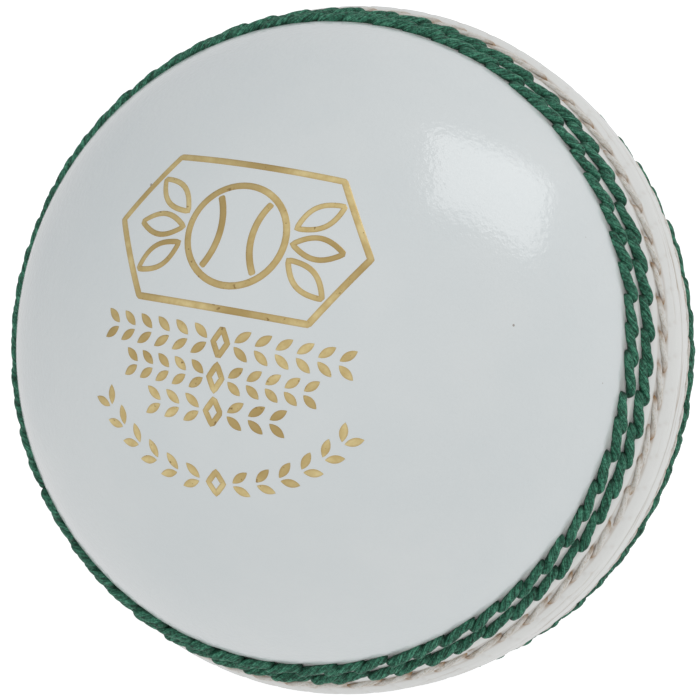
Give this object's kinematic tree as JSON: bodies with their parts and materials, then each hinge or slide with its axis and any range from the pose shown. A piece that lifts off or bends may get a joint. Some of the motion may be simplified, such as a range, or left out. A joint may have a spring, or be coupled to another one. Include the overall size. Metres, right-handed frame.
{
  "type": "cricket ball",
  "caption": "White leather cricket ball: two leather cups closed by proud stitched rows round a quilted cork-and-yarn centre.",
  "frame": {"origin": "centre of the ball", "axes": "+Z through the pole of the stamped leather cup; the seam lies round the ball in the XY plane; +X to the stamp's right and +Y up the stamp, seen from +Z"},
  "size_m": [0.0728, 0.0728, 0.0716],
  "materials": {
    "white_leather": "glossy lacquered white leather, bluish-grey in shade, cream in the seam band",
    "green_thread": "waxed twisted thread, dark green",
    "linen_thread": "natural linen thread with brown wax marks",
    "gold_foil": "thin pressed gold foil, satin",
    "yarn": "tightly wound woollen yarn",
    "cork": "thin cork sheet",
    "core": "moulded cork and rubber"
  },
  "bodies": {
    "root": {"cork_rubber_core": "core", "first_yarn_winding": "yarn", "first_cork_strip_1": "cork", "first_cork_strip_2": "cork", "first_cork_strip_3": "cork", "first_cork_strip_4": "cork", "second_yarn_winding": "yarn", "second_cork_strip_1": "cork", "second_cork_strip_2": "cork", "second_cork_strip_3": "cork", "second_cork_strip_4": "cork", "third_yarn_winding": "yarn", "leather_cup_stamped": "white_leather", "upper_outer_stitch_row": "green_thread", "upper_middle_stitch_row": "green_thread", "upper_inner_stitch_row": "linen_thread", "leather_cup_plain": "white_leather", "lower_outer_stitch_row": "green_thread", "lower_middle_stitch_row": "green_thread", "lower_inner_stitch_row": "linen_thread"}
  },
  "joints": []
}
